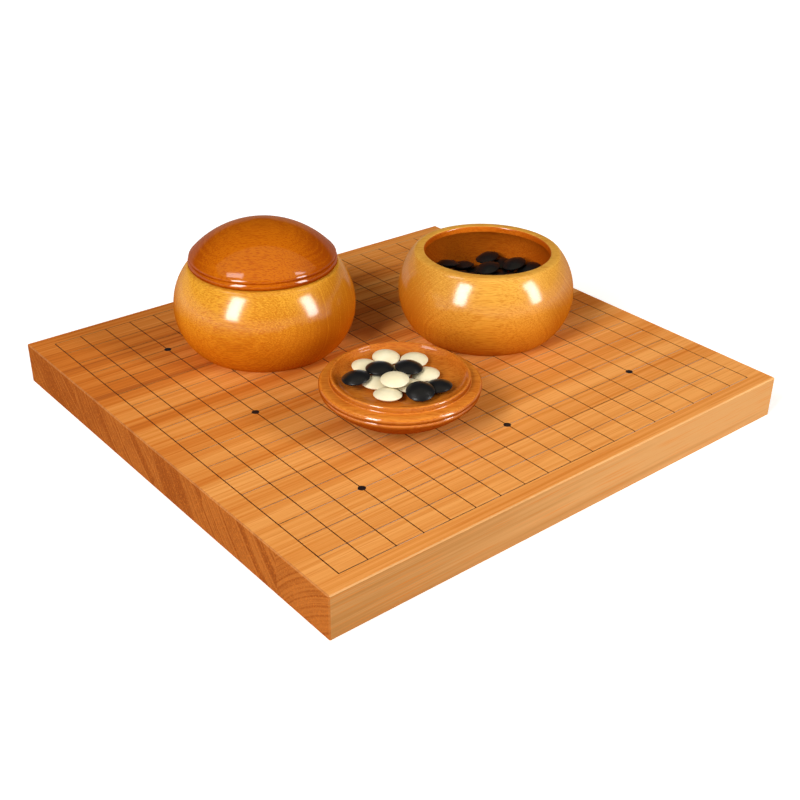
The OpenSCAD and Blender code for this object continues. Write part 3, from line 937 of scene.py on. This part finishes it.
class GOSET_OT_stage(Operator):
    """Sets up the floor, the lamps, the even light and the camera"""
    bl_idname = "goset.stage"
    bl_label = "Stage"

    def execute(self, context):
        scene = context.scene
        setup = scene.go_set.stage
        deselect()
        bpy.ops.mesh.primitive_circle_add(vertices=FLOOR_SIDES, radius=FLOOR_RADIUS, fill_type="NGON",
                                          location=(0.0, 0.0, -FLOOR_DROP))
        floor = context.object
        floor.name = "floor"
        floor.data.materials.append(floor_paper(setup.floor))
        scene.world = even_light(setup.ambient)

        for name, place, aim, roll, width, height, power, tint in LAMPS:
            bpy.ops.object.light_add(type="AREA", location=place)
            lamp = context.object
            lamp.name = name
            lamp.data.shape = "RECTANGLE"
            lamp.data.size, lamp.data.size_y = width, height
            lamp.data.energy = power
            lamp.data.color = tint
            facing = (Vector(aim) - Vector(place)).to_track_quat("-Z", "Y")
            lamp.rotation_euler = (facing @ Quaternion((0.0, 0.0, 1.0), math.radians(roll))).to_euler()

        bpy.ops.object.camera_add(location=CAMERA_PLACE, rotation=[math.radians(a) for a in CAMERA_TURN])
        camera = context.object
        camera.name = "camera"
        camera.data.lens = setup.lens
        camera.data.shift_x, camera.data.shift_y = CAMERA_SHIFT
        scene.camera = camera
        scene.view_settings.view_transform = "Standard"
        return {"FINISHED"}


class GOSET_PT_panel(Panel):
    """Lists the pieces of the go set and their settings"""
    bl_idname = "GOSET_PT_panel"
    bl_label = "Go Set"
    bl_space_type = "VIEW_3D"
    bl_region_type = "UI"
    bl_category = "Go Set"

    def draw(self, context):
        for operator in OPERATORS:
            self.layout.operator(operator.bl_idname)
        settings = context.scene.go_set
        for group in GoSet.__annotations__:
            box = self.layout.box()
            box.label(text=group.capitalize())
            values = getattr(settings, group)
            for name in type(values).__annotations__:
                box.prop(values, name)


OPERATORS = (GOSET_OT_board, GOSET_OT_bowls, GOSET_OT_lids, GOSET_OT_stones, GOSET_OT_stage)
CLASSES = (BowlShape, LidShape, StoneShape, WoodColours, StageSetup, GoSet, *OPERATORS, GOSET_PT_panel)


def register():
    """Registers the classes and adds the settings to the scene."""
    for entry in CLASSES:
        bpy.utils.register_class(entry)
    bpy.types.Scene.go_set = PointerProperty(type=GoSet)


def unregister():
    """Takes the settings and the classes out again."""
    del bpy.types.Scene.go_set
    for entry in reversed(CLASSES):
        bpy.utils.unregister_class(entry)


def main():
    """Registers the classes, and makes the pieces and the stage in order."""
    register()
    bpy.ops.goset.board()
    bpy.ops.goset.bowls()
    bpy.ops.goset.lids()
    bpy.ops.goset.stones()
    bpy.ops.goset.stage()


if __name__ == "__main__":
    main()
